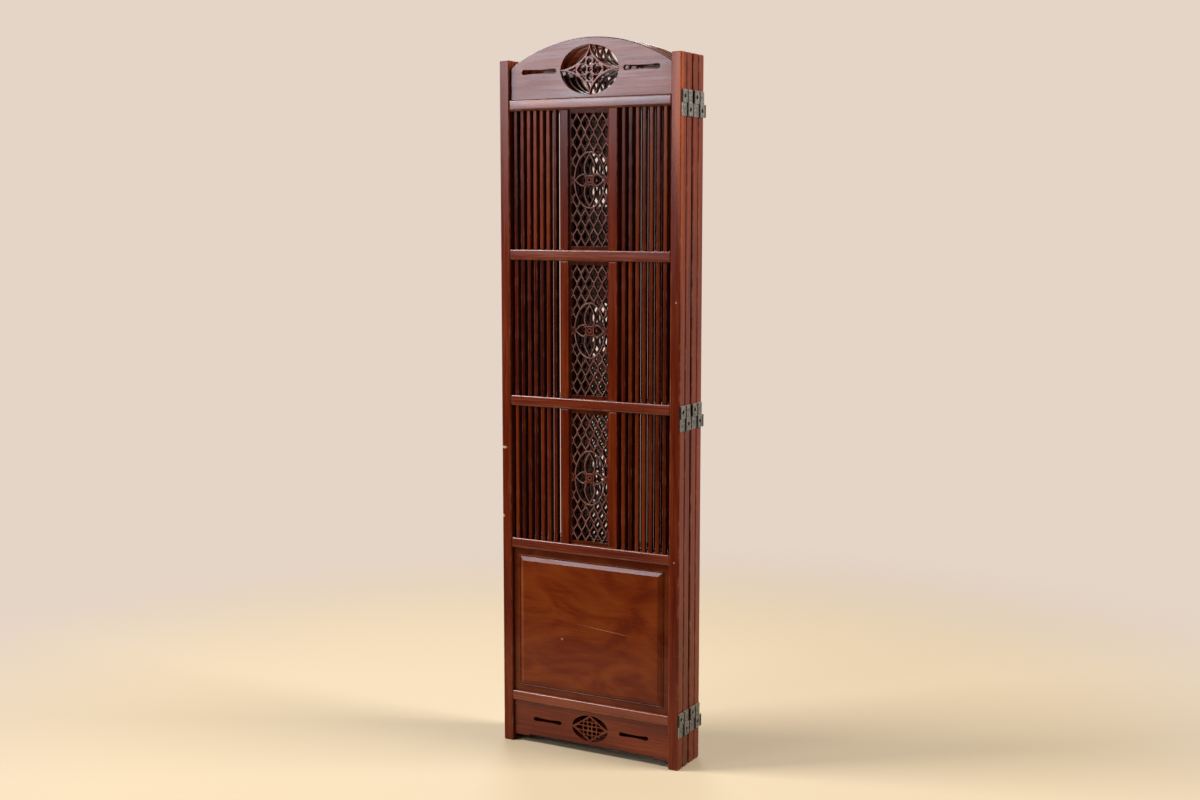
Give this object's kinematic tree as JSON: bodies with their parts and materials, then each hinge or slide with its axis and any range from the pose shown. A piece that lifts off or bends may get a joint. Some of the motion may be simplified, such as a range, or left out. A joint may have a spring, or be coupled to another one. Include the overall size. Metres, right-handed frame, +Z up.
{
  "type": "folding screen",
  "caption": "Free-standing hinged room divider of lacquered wood: arched pierced crests, slatted lattice bays with carved net frets, and raised panels below.",
  "frame": {"origin": "on the floor under the middle of the folded stack", "axes": "+X across the panels, +Y from the front panel to the rear panel, +Z up"},
  "size_m": [0.4894, 0.1222, 1.7],
  "materials": {
    "frame_wood": "semi-gloss lacquer",
    "slat_wood": "semi-gloss lacquer",
    "carved_wood": "semi-gloss lacquer",
    "panel_wood": "semi-gloss lacquer",
    "hinge_metal": "aged, dull bronze"
  },
  "bodies": {
    "panel_1": {"panel1_left_stile": "frame_wood", "panel1_right_stile": "frame_wood", "panel1_crest_board": "carved_wood", "panel1_rails": "frame_wood", "panel1_mullions": "frame_wood", "panel1_slats": "slat_wood", "panel1_frets": "carved_wood", "panel1_raised_panel": "panel_wood", "panel1_apron": "carved_wood", "hinge12_front_leaves": "hinge_metal", "hinge12_upper_links": "hinge_metal", "hinge12_front_pins": "hinge_metal", "hinge12_middle_pins": "hinge_metal"},
    "panel_2": {"panel2_left_stile": "frame_wood", "panel2_right_stile": "frame_wood", "panel2_crest_board": "carved_wood", "panel2_rails": "frame_wood", "panel2_mullions": "frame_wood", "panel2_slats": "slat_wood", "panel2_frets": "carved_wood", "panel2_raised_panel": "panel_wood", "panel2_apron": "carved_wood", "hinge12_rear_leaves": "hinge_metal", "hinge12_lower_links": "hinge_metal", "hinge12_rear_pins": "hinge_metal", "hinge23_front_leaves": "hinge_metal", "hinge23_upper_links": "hinge_metal", "hinge23_front_pins": "hinge_metal", "hinge23_middle_pins": "hinge_metal"},
    "panel_3": {"panel3_left_stile": "frame_wood", "panel3_right_stile": "frame_wood", "panel3_crest_board": "carved_wood", "panel3_rails": "frame_wood", "panel3_mullions": "frame_wood", "panel3_slats": "slat_wood", "panel3_frets": "carved_wood", "panel3_raised_panel": "panel_wood", "panel3_apron": "carved_wood", "hinge23_rear_leaves": "hinge_metal", "hinge23_lower_links": "hinge_metal", "hinge23_rear_pins": "hinge_metal", "hinge34_front_leaves": "hinge_metal", "hinge34_upper_links": "hinge_metal", "hinge34_front_pins": "hinge_metal", "hinge34_middle_pins": "hinge_metal"},
    "panel_4": {"panel4_left_stile": "frame_wood", "panel4_right_stile": "frame_wood", "panel4_crest_board": "carved_wood", "panel4_rails": "frame_wood", "panel4_mullions": "frame_wood", "panel4_slats": "slat_wood", "panel4_frets": "carved_wood", "panel4_raised_panel": "panel_wood", "panel4_apron": "carved_wood", "hinge34_rear_leaves": "hinge_metal", "hinge34_lower_links": "hinge_metal", "hinge34_rear_pins": "hinge_metal"}
  },
  "joints": [
    {"name": "fold_12", "type": "hinge", "parent": "panel_1", "child": "panel_2", "pos_m": [0.2427, -0.0307, 0.831], "axis": [0, 0, -1], "range_deg": [0, 180]},
    {"name": "fold_23", "type": "hinge", "parent": "panel_2", "child": "panel_3", "pos_m": [-0.2427, 0, 0.831], "axis": [0, 0, 1], "range_deg": [0, 180]},
    {"name": "fold_34", "type": "hinge", "parent": "panel_3", "child": "panel_4", "pos_m": [0.2427, 0.0307, 0.831], "axis": [0, 0, -1], "range_deg": [0, 180]}
  ]
}
